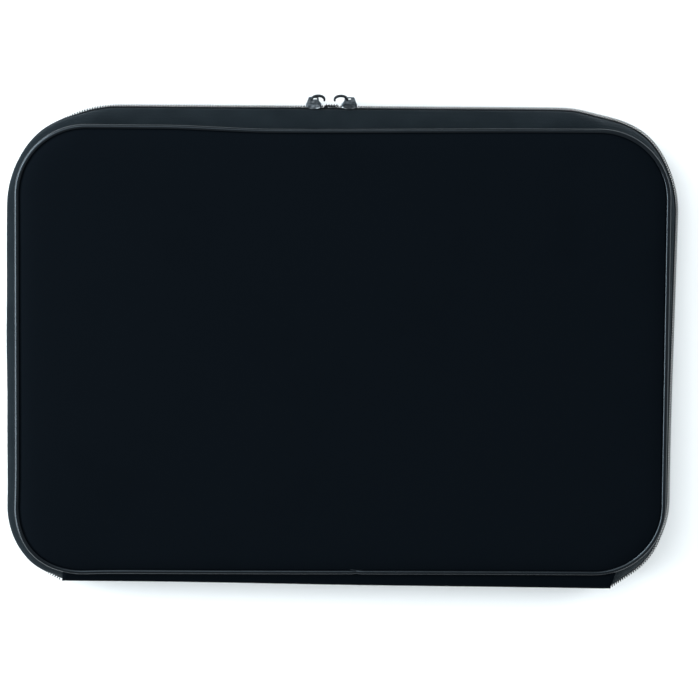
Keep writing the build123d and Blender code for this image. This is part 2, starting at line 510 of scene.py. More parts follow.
def nylon_coil():
    """Moulded nylon monofilament."""
    look = Look("zip_coil", (0.0020, 0.0028, 0.0036), 0.32, specular=0.22)
    grain = look.noise(look.place(), 0.25 * MM)
    look.rough_between(grain, 0.28, 0.45)
    look.bump(grain, 0.1, 0.03 * MM)
    return look.material


def brushed_lining(name, bends=False):
    """Soft brushed knit inside the sleeve."""
    look = Look(name, (0.02, 0.022, 0.026), 0.95, specular=0.1)
    place = look.place(bends)
    pile = look.noise(place, 0.7 * MM, detail=5, roughness=0.7)
    cloud = look.noise(place, 24 * MM, detail=4)
    tone = look.add(look.times(pile, 0.6), look.times(cloud, 0.5))
    look.between("Base Color", tone, (0.013, 0.015, 0.018), (0.034, 0.037, 0.043), 0.3, 0.8)
    look.bump(pile, 0.6, 0.35 * MM)
    look.sheen(0.08, 0.45)
    return look.material


def closed_foam():
    """Closed-cell foam, seen only where the sleeve is cut open."""
    look = Look("foam", (0.05, 0.05, 0.055), 0.85, specular=0.2)
    cells = look.node("TexVoronoi", Vector=look.place(), Scale=1 / (0.6 * MM)).outputs["Distance"]
    look.between("Base Color", cells, (0.03, 0.03, 0.033), (0.07, 0.07, 0.075))
    look.bump(cells, 0.4, 0.2 * MM)
    return look.material


def twisted_cord():
    """Dark twisted filler cord."""
    look = Look("cord", (0.02, 0.022, 0.025), 0.8, specular=0.2)
    strands = look.noise(look.place(), 0.4 * MM, detail=3)
    look.between("Base Color", strands, (0.010, 0.011, 0.013), (0.03, 0.032, 0.036))
    look.bump(strands, 0.5, 0.1 * MM)
    return look.material


def sewing_thread():
    """Slightly glossy black thread."""
    look = Look("thread", (0.014, 0.018, 0.022), 0.45, specular=0.4)
    twist = look.noise(look.place(), 0.3 * MM)
    look.between("Base Color", twist, (0.010, 0.013, 0.016), (0.030, 0.038, 0.045))
    look.bump(twist, 0.3, 0.06 * MM)
    return look.material


def dark_nickel():
    """Die-cast slider metal with a dark nickel plate, brighter in random worn patches and with a painted
    highlight on the flanges' lower rims.
    """
    look = Look("slider_metal", (0.06, 0.07, 0.08), 0.4, metallic=1.0)
    wear = look.noise(look.place(), 1.6 * MM, detail=4, roughness=0.65)
    # random wear patches plus the painted highlight stored on the flange rims
    wear_and_rim_highlight = look.add(look.times(wear, 0.5), look.stored("wear_and_rim_highlight"))
    look.between("Base Color", wear_and_rim_highlight, (0.036, 0.043, 0.049), (0.46, 0.50, 0.53), 0.22, 1.0)
    look.rough_between(wear, 0.48, 0.32)
    look.bump(look.noise(look.place(), 0.2 * MM), 0.12, 0.03 * MM)
    return look.material


def black_enamel():
    """Black enamel on the pulls."""
    look = Look("pull_metal", (0.002, 0.002, 0.0025), 0.3, specular=0.25)
    wear = look.noise(look.place(), 1.1 * MM, detail=4)
    look.rough_between(wear, 0.2, 0.36)
    look.bump(wear, 0.08, 0.05 * MM)
    return look.material


FACE_CLOTH = knit_cloth("panel_cloth", (0.0006, 0.0011, 0.0019), (0.0018, 0.0029, 0.0043))
SPINE_FABRIC = knit_cloth("spine_cloth", (0.0004, 0.0009, 0.0016), (0.0014, 0.0024, 0.0036), bends=True)
TAPE = woven_tape("zip_tape", (0.0026, 0.0046, 0.0062), (0.0074, 0.0110, 0.0136), 0.09)
BINDING = woven_tape("binding", (0.004, 0.005, 0.007), (0.010, 0.012, 0.015), 0.05)
THREAD = sewing_thread()
SPINE_LINING = brushed_lining("spine_lining", bends=True)
PIPING = satin_piping()
NYLON = nylon_coil()
LINING = brushed_lining("lining")
FOAM = closed_foam()
CORD = twisted_cord()
METAL = dark_nickel()
ENAMEL = black_enamel()


# ---------------------------------------------------------------- the camera, the light and the floor

CAMERA_TILT = 9.0
CAMERA_ROLL = 0.45
CAMERA_DISTANCE = 3.0
CAMERA_WIDTH = 0.404  # what the picture spans across, at the object
CAMERA_TARGET = (0.0048, 0.0021, THICKNESS)
SENSOR_WIDTH = 36
FLOOR_REACH = 3.0
FLOOR_DROP = 0.2 * MM  # keeps the floor clear of the sleeve's underside
WORLD_STRENGTH = 0.42
COOL_WHITE = (0.93, 0.97, 1)


def add_camera():
    """Nearly straight down on the front panel, a little from the zipped side, through a long lens."""
    tilt = math.radians(CAMERA_TILT)
    data = bpy.data.cameras.new("camera")
    data.sensor_width = SENSOR_WIDTH
    data.lens = SENSOR_WIDTH * CAMERA_DISTANCE / CAMERA_WIDTH
    camera = bpy.data.objects.new("camera", data)
    bpy.context.collection.objects.link(camera)
    target = np.array(CAMERA_TARGET)
    camera.location = target + CAMERA_DISTANCE * np.array((0, math.sin(tilt), math.cos(tilt)))
    camera.rotation_mode = "ZXY"
    camera.rotation_euler = (-tilt, 0, math.radians(CAMERA_ROLL))
    bpy.context.scene.camera = camera


def add_area_light(name, place, target, size, power, color, mirrored=True):
    """A soft box that faces its target. If it isn't mirrored, shiny parts don't show it."""
    data = bpy.data.lights.new(name, "AREA")
    data.shape = "RECTANGLE"
    data.size, data.size_y = size
    data.energy = power
    data.color = color
    light = bpy.data.objects.new(name, data)
    light.visible_glossy = mirrored
    light.location = place
    direction = Vector(target) - Vector(place)
    light.rotation_euler = direction.to_track_quat("-Z", "Y").to_euler()
    bpy.context.collection.objects.link(light)


def add_studio():
    """Pale floor, even light from above and soft boxes at the left and the right."""
    corners = [(x * FLOOR_REACH, y * FLOOR_REACH, 0) for x, y in ((-1, -1), (1, -1), (1, 1), (-1, 1))]
    floor = new_piece("floor", corners, [(0, 1, 2, 3)])
    floor.data.materials.append(Look("floor", (0.90, 0.91, 0.905), 0.95, specular=0.05).material)
    floor.location.z = -FLOOR_DROP
    world = bpy.data.worlds.new("studio")
    world.use_nodes = True
    background = world.node_tree.nodes["Background"].inputs
    background["Color"].default_value = (*COOL_WHITE, 1)
    background["Strength"].default_value = WORLD_STRENGTH
    bpy.context.scene.world = world
    middle, front = (0, 0, 0), (0, 0, 0.02)
    add_area_light("overhead", (-0.8, 1.0, 1.7), middle, (1.8, 1.8), 29, COOL_WHITE)
    add_area_light("left_softbox", (-1.3, 0.25, 0.46), front, (2.2, 0.46), 58, (0.88, 0.95, 1))
    add_area_light("right_softbox", (1.4, 0.1, 0.80), front, (1.6, 0.7), 27, (0.9, 0.96, 1), mirrored=False)
    bpy.context.scene.view_settings.view_transform = "Standard"


add_camera()
add_studio()


# ---------------------------------------------------------------- panels

EDGE_STEPS = [v * MM for v in (0, 0.3, 0.7, 1.2, 1.8, 2.6, 3.6, 5, 6.8, 9, 12, 15.5)]
PANEL_STEP = 4.0 * MM
CLOTH_FRAMES = 14
SWELLING = 0.6  # the pressure of the foam under the face cloth, in the simulation
MOST_SWELL = 0.6 * MM
SEWN_INSET = 1.2 * MM  # the cloth disappears under the piping here
PAD_INSET = 2.6 * MM
LINING_INSET = 2.4 * MM


def side_distances(length):
    """Distances along one side of a panel, close together towards both ends."""
    middle = np.linspace(EDGE_STEPS[-1], length - EDGE_STEPS[-1], int(length / PANEL_STEP))[1:-1]
    return np.concatenate([EDGE_STEPS, middle, length - np.array(EDGE_STEPS[::-1])])


def panel_grid(inset):
    """A grid of points over the panel, whose four sides meet at the middles of the round corners."""
    outline = SEAM.inset(inset)
    edges = outline.edges
    corners = [(edges[k] + edges[k + 1]) / 2 for k in (1, 3, 5, 7)]
    total = edges[-1]

    def side(start, end, distances):
        places = (start + (end - start) * distances / distances[-1]) % total
        return outline.at([outline.station(place) for place in places])[0]

    wide = side_distances(corners[2] - corners[1])
    tall = side_distances(corners[1] - corners[0])
    bottom = side(corners[3], corners[0] + total, wide)
    top = side(corners[2], corners[1], wide)
    left = side(corners[3], corners[2], tall)
    right = side(corners[0], corners[1], tall)
    a = ((bottom[:, 0] - bottom[0, 0]) / (bottom[-1, 0] - bottom[0, 0]))[None, :, None]
    b = ((left[:, 1] - left[0, 1]) / (left[-1, 1] - left[0, 1]))[:, None, None]
    across = (1 - a) * left[:, None] + a * right[:, None]
    upward = (1 - b) * bottom[None] + b * top[None]
    twice = (1 - b) * ((1 - a) * bottom[0] + a * bottom[-1]) + b * ((1 - a) * top[0] + a * top[-1])
    return across + upward - twice


def seam_depth(points):
    """How far points lie inside the piped seam."""
    reach = np.abs(points) - (np.array((SEAM_X, SEAM_Y)) - SEAM_RADIUS)
    outside = np.linalg.norm(np.maximum(reach, 0), axis=1)
    return SEAM_RADIUS - outside - np.minimum(reach.max(axis=1), 0)


def roll(depth):
    """How far the face cloth lies from the panel's flat face, near the seam."""
    return ROLL_DEPTH * np.exp(-np.maximum(depth - SEWN_INSET, 0) / ROLL_REACH)


def cover_height(side, x, y, depth):
    """Distance of the face cloth from the flat face's plane: 0 where it lies on it."""
    around = np.where(np.abs(x) / SEAM_X > np.abs(y) / SEAM_Y, y, x)
    puckers = np.sin(around / (8.5 * MM) * 2 * math.pi + 2 * np.sin(around / (60 * MM)))
    height = roll(depth) + 0.08 * MM * puckers * np.exp(-depth / (5 * MM)) * (depth > 1.6 * MM)
    if side == "front":
        middle = np.clip(depth / (70 * MM), 0, 1)
        height = height - CROWN * middle * (2 - middle)
        height = height + 0.16 * MM * ripple(x, y, 3) * np.clip(depth / (15 * MM), 0, 1)
    return height


def panel_layer(name, side, inset, height_at):
    """A layer of a panel, as a surface."""
    grid = panel_grid(inset)
    flat = grid.reshape(-1, 2)
    height = height_at(flat[:, 0], flat[:, 1], seam_depth(flat))
    verts = np.column_stack([settle(flat), height])
    return half_piece(name, side, verts, grid_faces(*grid.shape[:2]))


def stuff(cover, depth):
    """Lets the face cloth settle over the foam that swells under it, held at its sewn edge."""
    held = cover.vertex_groups.new(name="held")
    for index, weight in enumerate(1 - ramp(depth, 2 * MM, 14 * MM)):
        held.add([index], float(weight), "REPLACE")
    cloth = cover.modifiers.new("cloth", "CLOTH")
    cloth.settings.quality = 5
    cloth.settings.mass = 0.3
    cloth.settings.vertex_group_mass = "held"
    cloth.settings.tension_stiffness = 40
    cloth.settings.compression_stiffness = 40
    cloth.settings.bending_stiffness = 4
    cloth.settings.use_pressure = True
    cloth.settings.uniform_pressure_force = SWELLING
    cloth.settings.effector_weights.gravity = 0
    cloth.point_cache.frame_end = CLOTH_FRAMES
    scene = bpy.context.scene
    for moment in range(1, CLOTH_FRAMES + 1):
        scene.frame_set(moment)
    graph = bpy.context.evaluated_depsgraph_get()
    settled = cover.evaluated_get(graph).to_mesh()
    before = np.array([v.co for v in cover.data.vertices])
    moved = np.array([v.co for v in settled.vertices]) - before
    moved *= min(1, MOST_SWELL / max(float(np.abs(moved).max()), 1e-9))
    cover.evaluated_get(graph).to_mesh_clear()
    cover.modifiers.clear()
    cover.vertex_groups.clear()
    cover.data.vertices.foreach_set("co", (before + moved).reshape(-1))
    cover.data.update()
    scene.frame_set(1)


def add_panel(side):
    """Face cloth, foam and lining of one half."""
    outward_up = side == "front"
    cover = panel_layer("cover", side, SEWN_INSET, lambda *place: cover_height(side, *place))
    face_along(cover, 2, outward_up)
    if side == "front":
        stuff(cover, seam_depth(np.array([v.co[:2] for v in cover.data.vertices])))
    thicken(cover, 1.0 * MM)
    finish_half(cover, side, FACE_CLOTH, "panel_cloth")

    pad = panel_layer("pad", side, PAD_INSET, lambda x, y, d: FOAM_LOW + 0.2 * MM + 0.8 * roll(d))
    face_along(pad, 2, outward_up)
    thicken(pad, LINING_LOW - FOAM_LOW - 0.9 * MM)
    finish_half(pad, side, FOAM, "foam")

    def lining_height(x, y, depth):
        waves = 0.25 * MM * ripple(x, y, 11 if side == "back" else 12)
        return LINING_HIGH - waves * np.clip(depth / (12 * MM), 0, 1)

    lining = panel_layer("lining_cloth", side, LINING_INSET, lining_height)
    face_along(lining, 2, not outward_up)
    thicken(lining, 0.5 * MM)
    finish_half(lining, side, LINING, "lining")


# ---------------------------------------------------------------- piping

PIPING_JOIN = 9.6 * MM  # where the two ends of the piping cross, right of the middle of the bottom
PIPING_LAP = 4.5 * MM
PIPING_STEP = 1.6 * MM
DIVE_IN, DIVE_UP = 1.2 * MM, 1.4 * MM  # how far the crossed ends go in under the panel
BEAD_CORD_RADIUS = 0.8 * MM
BEAD_RADIUS = 1.4 * MM  # the cloth pulls the piping tighter than its loose size


def add_piping(side):
    """The piping with its crossed ends, and the filler cord inside it."""
    total = sum(SEAM.lengths())
    stations = stations_along(SEAM, PIPING_JOIN - PIPING_LAP, PIPING_JOIN + PIPING_LAP + total, PIPING_STEP)
    flat, normals = SEAM.at(stations)
    count = len(stations)
    distance = np.linspace(0, total + 2 * PIPING_LAP, count)
    from_end = np.minimum(distance, distance[-1] - distance)
    dive = np.clip(1 - from_end / (2 * PIPING_LAP), 0, 1) ** 2
    flat = settle(flat) - normals * (dive * DIVE_IN)[:, None]
    centre = at_height(flat, PIPING_Z + dive * DIVE_UP)
    across = at_height(normals, 0.0)
    up = np.tile((0.0, 0.0, 1.0), (count, 1))
    uneven = 1 + 0.012 * np.sin(distance / (13 * MM)) + 0.01 * np.sin(distance / (3.1 * MM) + 1)
    verts, faces = tube(centre, across, up, BEAD_RADIUS * uneven, sides=20)
    piping = half_piece("bead", side, verts, faces)
    finish_half(weld(piping), side, PIPING, "piping")
    verts, faces = tube(centre, across, up, BEAD_CORD_RADIUS, sides=8)
    cord = half_piece("bead_cord", side, verts, faces)
    finish_half(weld(cord), side, CORD, "piping_cord")


# ---------------------------------------------------------------- zip

def wall_points(stations, shares):
    """Points of the side wall from the seam, share 0, to the bend beside the coil, share 1."""
    foot, normals = SEAM.inset(1.3 * MM).at(stations)
    foot = settle(foot)
    top, top_normals = RIDGE.inset(COIL_DEPTH).at(stations)
    top = slump(top)
    bulge = (LEFT_BULGE * ramp(-top_normals[:, 0], 0.12, 0.72))[:, None]
    rows = []
    for share in shares:
        flat = foot + (top - foot) * share
        belly = 4 * share * (1 - share) * 0.9 * MM + 6.75 * share**2 * (1 - share) * bulge
        flat = flat + top_normals * belly
        rows.append(at_height(flat, WALL_FOOT + (TAPE_BEND - WALL_FOOT) * share))
    return np.array(rows), top_normals


def part_between_sliders(points, side, share=1.0):
    """Moves points of the zip out where it is open, between the mouths of the two sliders at rest."""
    moved = points.copy()
    x = points[:, 0]
    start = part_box("slider_body_left")[1].x + OPEN_GAP
    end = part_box("slider_body_right")[0].x - OPEN_GAP
    inside = ramp(x, start, start + OPEN_RAMP) * ramp(-x, -end, OPEN_RAMP - end)
    moved[:, 1] += share * OPEN_LIFT[side] * inside * (points[:, 1] > 0)
    return moved


def add_tape(side):
    """Half of the zip's woven tape: the sloping wall and the edge under the coil."""
    start, end = zip_span()
    stations = stations_along(RIDGE, start, end, 1.8 * MM)
    shares = np.linspace(0, 1, 13)
    rows, normals = wall_points(stations, shares)
    distance = np.linspace(0, end - start, len(stations))
    for row, share in zip(rows, shares):
        swell = math.sin(math.pi * share) * 0.22 * MM
        wave = np.sin(distance / (23 * MM)) + 0.6 * np.sin(distance / (9.5 * MM) + 2.0 + share)
        row[:, :2] += normals * (swell * wave)[:, None]
    edge_flat = part_between_sliders(slump(RIDGE.inset(COIL_DEPTH).at(stations)[0]), side, TAPE_OPEN_SHARE)
    for height in np.linspace(TAPE_BEND + 0.5 * MM, MIDDLE - 0.15 * MM, 5):
        rows = np.concatenate([rows, at_height(edge_flat, height)[None]])
    verts = rows.reshape(-1, 3)
    piece = half_piece("tape", side, verts, grid_faces(len(rows), len(stations)))
    gaps = np.linalg.norm(np.diff(rows, axis=0), axis=2)
    across = np.concatenate([np.zeros((1, len(stations))), np.cumsum(gaps, axis=0)])
    store(piece, "along", np.tile(distance, len(rows)))
    store(piece, "across", across.reshape(-1))
    thicken(piece, TAPE_THICKNESS, offset=0)
    finish_half(piece, side, TAPE, "zip_tape")


def add_coil(side):
    """One row of nylon coil, turn by turn, with its filler cord."""
    start, end = zip_span()
    turns = int((end - start) / COIL_PITCH)
    shift = 0.5 * COIL_PITCH if side == "front" else 0.0
    first = start + shift
    stations = stations_along(RIDGE, first, first + (turns - 1) * COIL_PITCH, COIL_PITCH / COIL_STEPS)
    set_in = BACK_COIL_SET_IN if side == "back" else 0.0
    flat, normals = RIDGE.inset(COIL_DEPTH / 2 + set_in).at(stations)
    flat = part_between_sliders(slump(flat), side)
    count = np.arange(len(stations))
    phase = count % COIL_STEPS / COIL_STEPS
    stepped = (count // COIL_STEPS + ease((phase - 0.02) / 0.46)) * COIL_STEPS
    flat = np.column_stack([np.interp(stepped, count, flat[:, k]) for k in (0, 1)])
    normals = np.column_stack([np.interp(stepped, count, normals[:, k]) for k in (0, 1)])
    angle = count * 2 * math.pi / COIL_STEPS
    out = np.sign(np.cos(angle)) * np.abs(np.cos(angle)) ** 0.7 * COIL_HALF_DEPTH
    side_way = np.sign(np.sin(angle)) * np.abs(np.sin(angle)) ** 0.8 * COIL_HALF_WIDTH
    centre = np.column_stack([flat + normals * out[:, None], COIL_CENTRE + side_way])
    along = np.gradient(centre, axis=0)
    along /= np.linalg.norm(along, axis=1)[:, None]
    path_way = np.column_stack([-normals[:, 1], normals[:, 0], np.zeros(len(normals))])
    across = path_way - along * (path_way * along).sum(1)[:, None]
    across /= np.linalg.norm(across, axis=1)[:, None]
    up = np.cross(along, across)
    verts, faces = tube(centre, across, up, COIL_WIRE, sides=6)
    coil = half_piece("coil_turns", side, verts, faces)
    finish_half(coil, side, NYLON, "zip_coil")

    stations = stations_along(RIDGE, start, end, 2.5 * MM)
    flat, normals = RIDGE.inset(COIL_DEPTH / 2 + max(set_in, 0.4 * MM)).at(stations)
    flat = part_between_sliders(slump(flat), side)
    flat_up = np.tile((0.0, 0.0, 1.0), (len(stations), 1))
    verts, faces = tube(at_height(flat, COIL_CENTRE), at_height(normals, 0.0), flat_up, 0.42 * MM, sides=8)
    cord = half_piece("coil_core", side, verts, faces)
    finish_half(cord, side, CORD, "zip_cord")


# ---------------------------------------------------------------- binding and stitches

BINDING_FACE, BINDING_BACK = 2.7 * MM, 4.7 * MM  # insets of its two faces from the seam
BINDING_FOOT, BINDING_TOP = (corner.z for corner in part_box("back_seam_binding"))
BINDING_CLOTH = 0.5 * MM


def folded_section():
    """The binding's section as insets and heights: up one face, over the fold and down the other."""
    middle = (BINDING_FACE + BINDING_BACK) / 2
    reach = (BINDING_BACK - BINDING_FACE) / 2
    section = []
    for shrink in (0, BINDING_CLOTH):
        radius = reach - shrink
        fold = [(middle - radius * math.cos(t), BINDING_TOP - reach + radius * math.sin(t))
                for t in np.linspace(0, math.pi, 9)]
        walls = np.linspace(BINDING_FOOT, BINDING_TOP - reach, 5)[:-1]
        path = [(middle - radius, z) for z in walls] + fold + [(middle + radius, z) for z in walls[::-1]]
        section += path if shrink == 0 else path[::-1]
    return section


def add_binding(side):
    """The folded tape over the seam allowances, inside the sleeve, with its row of stitches."""
    total = sum(SEAM.lengths())
    stations = stations_along(SEAM, 0, total, 2.2 * MM)[:-1]
    distance = np.linspace(0, total, len(stations), endpoint=False)
    turn = distance * 2 * math.pi / total
    wave = 0.12 * MM * np.sin(turn * 97) + 0.08 * MM * np.sin(turn * 31)
    rows, across = [], []
    section = folded_section()
    for inset, height in section:
        flat, normals = SEAM.inset(inset).at(stations)
        share = (height - BINDING_FOOT) / (BINDING_TOP - BINDING_FOOT)
        flat = settle(flat) + normals * (wave * share)[:, None]
        rows.append(at_height(flat, height))
    rows = np.array(rows)
    verts = rows.reshape(-1, 3)
    faces = grid_faces(len(rows), len(stations), closed_rows=True, closed_columns=True)
    piece = half_piece("seam_fold", side, verts, faces)
    lengths = np.concatenate([[0], np.cumsum([math.dist(p, q) for p, q in zip(section, section[1:])])])
    store(piece, "along", np.tile(distance, len(rows)))
    store(piece, "across", np.repeat(lengths, len(stations)))
    finish_half(weld(piece), side, BINDING, "seam_binding")
    flat, normals = SEAM.inset(BINDING_BACK + 0.03 * MM).at(stations_along(SEAM, 0, total, 3.2 * MM)[:-1])
    flat = settle(flat)
    ends = []
    for point, normal in zip(flat, normals):
        along = np.array((-normal[1], normal[0])) * 1.1 * MM
        height = BINDING_FOOT + 1.6 * MM
        ends.append(((*(point - along), height), (*(point + along), height)))
    add_stitches(f"{side}_binding_stitches", ends, f"{side}_half", mirrored=side == "front")


def add_stitches(name, ends, body, radius=0.22 * MM, mirrored=False):
    """Short threads from point to point, each sunk a little at both ends."""
    verts, faces = [], []
    sides, rows = 6, 5
    for start, end in ends:
        start, end = np.array(start), np.array(end)
        along = (end - start) / np.linalg.norm(end - start)
        up = np.array((0, 0, 1.0)) if abs(along[2]) < 0.9 else np.array((1.0, 0, 0))
        up -= along * up.dot(along)
        up /= np.linalg.norm(up)
        shares = np.linspace(0, 1, rows)
        points = start + (end - start) * shares[:, None]
        thick = radius * np.sqrt(np.maximum(1 - (2 * shares - 1) ** 4, 0.12))
        across, upward = (np.tile(way, (rows, 1)) for way in (np.cross(along, up), up))
        new_verts, new_faces = tube(points, across, upward, thick, sides)
        first = len(verts)
        verts.extend(new_verts)
        faces.extend(tuple(first + i for i in face) for face in new_faces)
    if mirrored:
        verts, faces = flip_to_front(verts, faces)
    return finish_piece(new_piece(name, verts, faces), THREAD, body)


# ---------------------------------------------------------------- spine

SPINE_FOLD = 4.2 * MM  # the height at which the spine starts to fold on the half
SPINE_BELLY = 0.6 * MM
SPINE_BEND = 0.22  # the share of its section at which the spine bends up
SPINE_STITCH_SINK = 0.12 * MM


def spine_crease(x, half_length):
    """Small folds near the stitched ends of the spine."""
    edge = float(ease(1 - (half_length - abs(x)) / (5 * MM)))
    return 0.35 * MM * edge * math.sin(abs(x) / (1.3 * MM))


def spine_row(x, share, inwards):
    """A point of the spine at x, from the foot under the piping, share 0, to the middle plane, share 1."""
    foot = np.array((-SEAM_Y + 0.3 * MM, 3.4 * MM))
    knee = np.array((RIDGE_BOTTOM + 0.3 * MM, SPINE_FOLD + 1.2 * MM))
    middle = np.array((RIDGE_BOTTOM - SPINE_BELLY, MIDDLE))
    if share < SPINE_BEND:
        t = share / SPINE_BEND
        place = foot + (knee - foot) * t
        place[0] -= math.sin(math.pi * t) * 0.7 * MM
    else:
        t = (share - SPINE_BEND) / (1 - SPINE_BEND)
        place = knee + (middle - knee) * t
        place[0] -= math.sin(math.pi * t / 2) * (1 - t) * 0.5 * MM
    return place + np.array((inwards, 0))


def spine_sheet(name, side, inwards, half_length, share_from, columns=150, rows=18):
    """One layer of the spine, from a half to the middle plane."""
    xs = np.linspace(-half_length, half_length, columns)
    shares = np.linspace(share_from, 1, rows)
    verts, along, across = [], [], []
    for share in shares:
        for x in xs:
            y, z = spine_row(x, share, inwards)
            crease = spine_crease(x, half_length)
            wave = 0.18 * MM * math.sin(x / (31 * MM) + 1.3) * math.sin(share * 3.0)
            point = np.array([[x, y - wave + crease * share]])
            point[0, 0] *= 1 - 1.0 * MM / half_length
            hang = min(share / 0.2, 1)
            low = slump(point) * hang + settle(point) * (1 - hang)
            verts.append((low[0, 0] + x - point[0, 0], low[0, 1], z))
            along.append(x)
            across.append(share * 13 * MM)
    piece = half_piece(name, side, verts, grid_faces(rows, columns))
    store(piece, "along", along)
    store(piece, "across", across)
    return piece


def fold_with(piece, side):
    """Bakes a piece's place into its mesh. The heights of the hinge line between its half and the spine are
    worked out but not used.
    """
    low, high = SPINE_FOLD - 1.0 * MM, SPINE_FOLD + 2.2 * MM
    if side == "front":
        low, high = THICKNESS - low, THICKNESS - high
    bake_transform(piece)


def bake_modifiers(piece):
    """Replaces the mesh with what its modifiers make of it."""
    graph = bpy.context.evaluated_depsgraph_get()
    made = bpy.data.meshes.new_from_object(piece.evaluated_get(graph))
    piece.modifiers.clear()
    piece.data = made
    return piece


def add_spine():
    """Cloth, foam and lining of the spine, each in two pieces that meet in the middle plane."""
    layers = (
        ("outer", 0.0, 0.7 * MM, 0.0, SPINE_FABRIC, ["spine_cloth"], "spine_cloth"),
        ("filling", 1.0 * MM, 1.2 * MM, 0.36, FOAM, ["spine_foam"], "foam"),
        ("inner", 2.5 * MM, 0.5 * MM, 0.3, SPINE_LINING, ["spine_lining"], "lining"),
    )
    for name, inwards, thickness, share_from, cloth, nodes, slot in layers:
        for side in ("back", "front"):
            half_length = SPINE_END - (0 if name == "outer" else 1.5 * MM)
            piece = spine_sheet(f"spine_{name}", side, inwards, half_length, share_from)
            face_along(piece, 1, False)
            thicken(piece, thickness)
            bake_modifiers(piece)
            finish_piece(piece, cloth, None, nodes)
            fold_with(piece, side)
            if name == "filling":
                continue
    for side in ("back", "front"):
        add_spine_stitches(side)


def add_spine_stitches(side):
    """The stitched ends of the spine: one row at the left and two at the right."""
    ends = []
    for x in (-SPINE_END + 1.6 * MM, SPINE_END - 1.6 * MM, SPINE_END - 4.2 * MM):
        for share in np.arange(0.42, 0.97, 0.14):
            pair = []
            for at in (share, share + 0.085):
                y, z = spine_row(x, at, -SPINE_STITCH_SINK)
                point = slump(np.array([[x, y + spine_crease(x, SPINE_END) * at]]))[0]
                pair.append((point[0], point[1], z))
            ends.append(pair)
    add_stitches(f"{side}_spine_stitches", ends, "spine", radius=0.2 * MM, mirrored=side == "front")


# ---------------------------------------------------------------- sliders and pulls

SLIDER_LOW, SLIDER_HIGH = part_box("slider_body_left")
SLIDER_HALF_WIDTH = (SLIDER_HIGH.z - SLIDER_LOW.z) / 2
SLIDER_HALF_LENGTH = (SLIDER_HIGH.x - SLIDER_LOW.x) / 2
PLATE = 1.1 * MM
WING_LOW = SLIDER_HIGH.y - PLATE
FLANGE_DEPTH = 1.95 * MM


def bevelled(piece, width, segments=3, angle=32):
    """Rounds the hard edges."""
    made = piece.modifiers.new("bevel", "BEVEL")
    made.width = width
    made.segments = segments
    made.limit_method = "ANGLE"
    made.angle_limit = math.radians(angle)
    made.harden_normals = True
    piece.data.shade_smooth()
    return piece


def slider_shell(x, way):
    """The outer wing with both flanges, wide at the mouth, which is on the side that way points to."""
    verts = []
    shares = np.linspace(-1, 1, 33)
    for t in shares:
        towards_mouth = t * way
        half = SLIDER_HALF_WIDTH * (0.80 + 0.20 * float(ease(0.5 + towards_mouth * 0.62)))
        half *= math.sqrt(max(1 - max(abs(t) - 0.80, 0) ** 2 / 0.065, 0.3))
        depth = FLANGE_DEPTH * (1 - 0.62 * abs(t) ** 2.4)
        top = PLATE * (1 - 0.35 * max(abs(t) - 0.55, 0) / 0.45)
        lip = 0.8 * MM
        flare = 0.32 * MM * (1 - abs(t) ** 6)
        outer = [(-half - flare, -depth), (-half - flare, 0.3 * MM - depth), (-half, 0.75 * MM - depth),
                 (-half * 0.99, top * 0.35), (-half * 0.90, top * 0.85), (-half * 0.72, top), (0, top * 1.05)]
        outer += [(-z, y) for z, y in outer[-2::-1]]
        inner = [(half - lip, -depth), (half - lip, -0.3 * MM), (0, -0.05 * MM)]
        inner += [(-z, y) for z, y in inner[-2::-1]]
        for z, y in outer + inner:
            verts.append((x + t * SLIDER_HALF_LENGTH, WING_LOW + y, MIDDLE + z))
    count = len(verts) // len(shares)
    faces = grid_faces(len(shares), count, closed_columns=True)
    last = (len(shares) - 1) * count
    faces.append(tuple(range(count)))
    faces.append(tuple(reversed(range(last, last + count))))
    return verts, faces


def paint_rim_highlight(piece, x):
    """Marks the flanges' lower rims with a painted highlight, bright towards their ends and dark in the
    middle.
    """
    places = np.array([v.co for v in piece.data.vertices])
    reach = np.abs(places[:, 0] - x) / SLIDER_HALF_LENGTH
    rim = ease((np.abs(places[:, 2] - MIDDLE) - SLIDER_HALF_WIDTH * 0.85) / (0.5 * MM))
    depth = FLANGE_DEPTH * (1 - 0.62 * reach**2.4)
    low = ease((WING_LOW - depth + 0.55 * MM - places[:, 1]) / (0.2 * MM))
    # the painted rim highlight: up to half strength, none near the middle of the slider
    store(piece, "wear_and_rim_highlight", 0.5 * rim * low * ease((reach - 0.2) / 0.3))


def slider_inside(x, inner_low, inner_high, inner_half_length, inner_half_width):
    """The inner wing and the post, as one lathe-like stack of rounded plates along Y."""
    verts = []
    levels = (
        (inner_low, 0.86), (inner_low + 0.25 * MM, 1.0), (inner_high - 0.25 * MM, 1.0), (inner_high, 0.9),
    )
    around_count = 40
    angles = np.linspace(0, 2 * math.pi, around_count, endpoint=False)
    for y, size in levels:
        for angle in angles:
            c, d = math.cos(angle), math.sin(angle)
            px = np.sign(c) * abs(c) ** 0.6 * inner_half_length * size
            pz = np.sign(d) * abs(d) ** 0.6 * inner_half_width * size
            verts.append((x + px, y, MIDDLE + pz))
    for y in (inner_high, WING_LOW + 0.2 * MM):
        for angle in angles:
            c, d = math.cos(angle), math.sin(angle)
            verts.append((x + c * 2.1 * MM, y, MIDDLE + np.sign(d) * abs(d) ** 1.5 * 0.4 * MM))
    rows = len(levels) + 2
    faces = grid_faces(rows, around_count, closed_columns=True)
    faces.append(tuple(range(around_count)))
    faces.append(tuple(reversed(range((rows - 1) * around_count, rows * around_count))))
    return verts, faces


